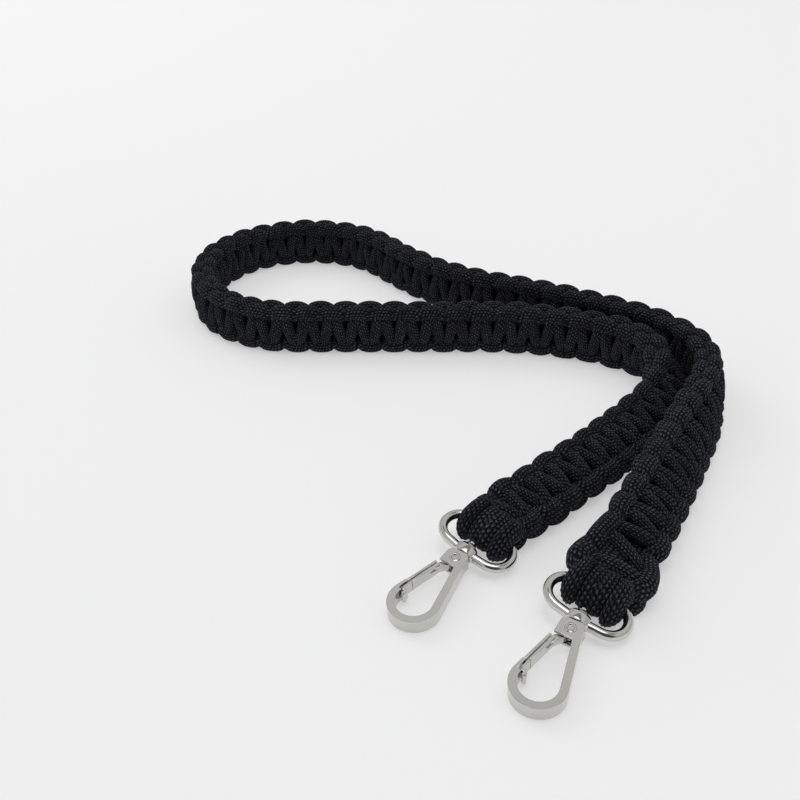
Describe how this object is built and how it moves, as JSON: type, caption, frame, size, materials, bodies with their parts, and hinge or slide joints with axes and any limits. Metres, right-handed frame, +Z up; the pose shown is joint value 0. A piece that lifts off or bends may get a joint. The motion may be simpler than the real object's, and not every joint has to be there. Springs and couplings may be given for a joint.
{
  "type": "camera neck strap",
  "caption": "Braided square-knot neck strap of soft dark knitted cord, lying in one long bight, with a swivel trigger clasp on an eye ring at each end.",
  "frame": {"origin": "on the surface that the strap lies on, under the middle of the whole object", "axes": "+Z up; +Y from the two clasps towards the strap's standing bight, the longest extent; +X to the right when the clasps are in front"},
  "size_m": [0.215, 0.2812, 0.0212],
  "materials": {
    "knitted_cord": "matt, slightly fuzzy soft cotton knit, charcoal black",
    "nickel": "polished nickel plate"
  },
  "bodies": {
    "strap_with_rings": {"strap": "knitted_cord", "eye_ring_1": "nickel", "eye_ring_2": "nickel"},
    "first_hook": {"hook_1": "nickel"},
    "first_gate": {"gate_1": "nickel"},
    "second_hook": {"hook_2": "nickel"},
    "second_gate": {"gate_2": "nickel"}
  },
  "joints": [
    {"name": "swivel_1", "type": "hinge", "parent": "strap_with_rings", "child": "first_hook", "pos_m": [0.005, -0.08509, 0.00507], "axis": [0.6132, 0.7849, 0.089], "continuous": true},
    {"name": "gate_hinge_1", "type": "hinge", "parent": "first_hook", "child": "first_gate", "pos_m": [0.00206, -0.08885, 0.00464], "axis": [-0.0548, -0.0702, 0.996], "range_deg": [0, 20], "stiffness_Nm_per_rad": 0.02, "springref_deg": -11.46},
    {"name": "swivel_2", "type": "hinge", "parent": "strap_with_rings", "child": "second_hook", "pos_m": [0.03382, -0.11208, 0.00507], "axis": [0.5322, 0.8419, 0.089], "continuous": true},
    {"name": "gate_hinge_2", "type": "hinge", "parent": "second_hook", "child": "second_gate", "pos_m": [0.03127, -0.11612, 0.00464], "axis": [-0.0476, -0.0752, 0.996], "range_deg": [0, 20], "stiffness_Nm_per_rad": 0.02, "springref_deg": -11.46}
  ]
}
